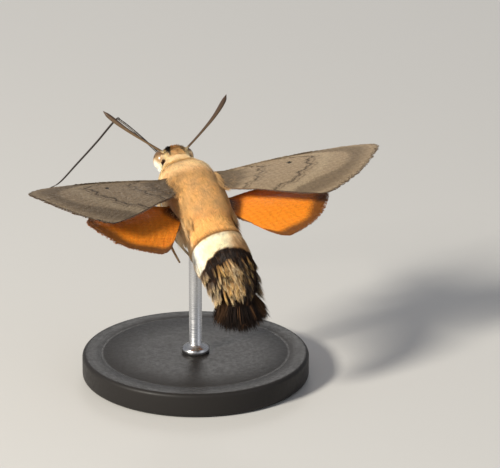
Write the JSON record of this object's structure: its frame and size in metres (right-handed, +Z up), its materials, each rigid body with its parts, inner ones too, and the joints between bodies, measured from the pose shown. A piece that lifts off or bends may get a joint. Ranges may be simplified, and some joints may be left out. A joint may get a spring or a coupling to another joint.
{
  "type": "hummingbird hawk moth model on a stand",
  "caption": "Life-size still model of a hovering hummingbird hawk moth with spread wings and a long proboscis, held by a rod above a flat round base.",
  "frame": {"origin": "centre of the round base's underside", "axes": "+Z up, the moth faces +Y with its body pitched up, +X to its right"},
  "size_m": [0.0456, 0.0393, 0.0325],
  "materials": {
    "body_fur": "short dense fur, tan above, with a cream band",
    "tail_fur": "long dark brown hair scales",
    "pale_fur": "short cream fur",
    "eye": "glossy brown, paler below, finely faceted",
    "antenna": "dark brown, finely ringed",
    "proboscis": "black, slightly glossy",
    "forewing": "grey-brown scales with darker cross lines",
    "hindwing": "orange scales with a brown margin",
    "leg": "thin legs covered with close brown scales",
    "stand_base": "satin black acrylic",
    "stand_rod": "brushed steel rod"
  },
  "bodies": {
    "root": {"thorax": "body_fur", "abdomen": "body_fur", "head": "body_fur", "tail_fan": "tail_fur", "eye_right": "eye", "palp_right": "pale_fur", "antenna_right": "antenna", "forewing_right": "forewing", "hindwing_right": "hindwing", "fore_femur_right": "leg", "fore_tibia_right": "leg", "fore_tarsus_right": "leg", "mid_femur_right": "leg", "mid_tibia_right": "leg", "mid_tarsus_right": "leg", "hind_femur_right": "leg", "hind_tibia_right": "leg", "hind_tarsus_right": "leg", "eye_left": "eye", "palp_left": "pale_fur", "antenna_left": "antenna", "forewing_left": "forewing", "hindwing_left": "hindwing", "fore_femur_left": "leg", "fore_tibia_left": "leg", "fore_tarsus_left": "leg", "mid_femur_left": "leg", "mid_tibia_left": "leg", "mid_tarsus_left": "leg", "hind_femur_left": "leg", "hind_tibia_left": "leg", "hind_tarsus_left": "leg", "proboscis_upper": "proboscis", "proboscis_lower": "proboscis", "stand_base": "stand_base", "stand_rod": "stand_rod"}
  },
  "joints": []
}
